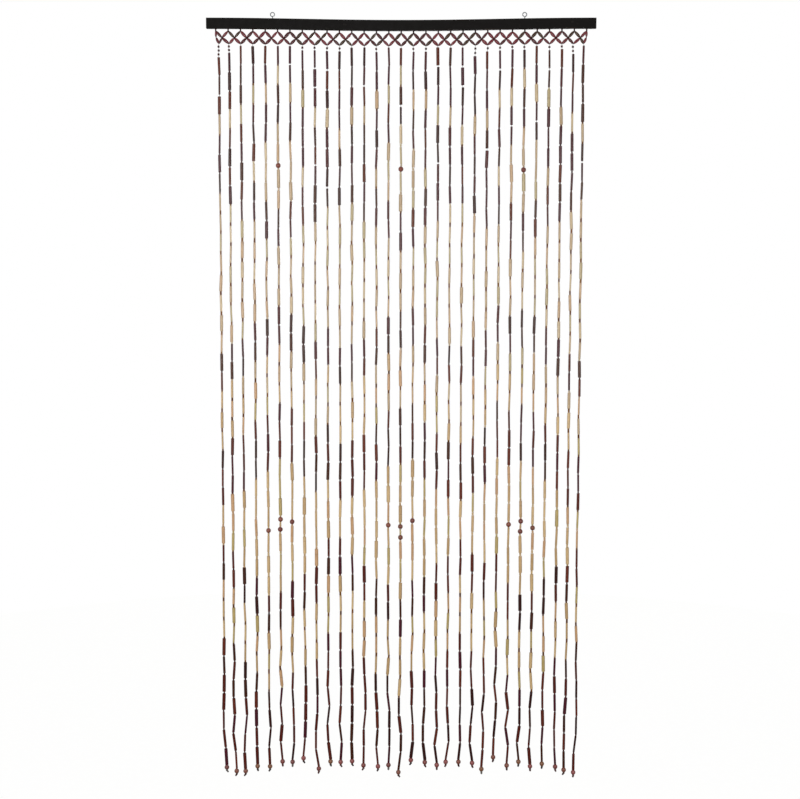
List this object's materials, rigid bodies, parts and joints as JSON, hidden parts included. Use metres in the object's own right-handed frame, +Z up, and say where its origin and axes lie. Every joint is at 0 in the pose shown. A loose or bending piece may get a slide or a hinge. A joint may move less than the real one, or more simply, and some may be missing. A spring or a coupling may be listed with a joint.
{
  "type": "bamboo bead door curtain on a hanging rail",
  "caption": "Door curtain of bamboo tubes threaded on hanging strings, with a beaded heading net, on a black wooden rail that hangs from screw eyes.",
  "frame": {"origin": "midway between the centres of the two screw eyes' rings, in the plane of the strings", "axes": "+Z up, +Y to the back towards the wall, +X to the right as seen from the front"},
  "size_m": [0.894, 0.0135, 1.8006],
  "materials": {
    "rail_paint": "black paint on wood, satin",
    "eye_zinc": "zinc plated wire",
    "bamboo_beads": "bamboo tubes, dark stained and natural, waxed",
    "dark_bamboo": "bamboo tube stained red-brown to near black, waxed",
    "natural_bamboo": "natural bamboo tube, waxed",
    "round_beads": "turned wooden bead, red-brown stain, lacquered",
    "bead_string": "dark waxed cotton string"
  },
  "bodies": {
    "root": {"rail": "rail_paint", "eye_left": "eye_zinc", "eye_right": "eye_zinc", "bead_strings": "bamboo_beads"}
  },
  "joints": []
}
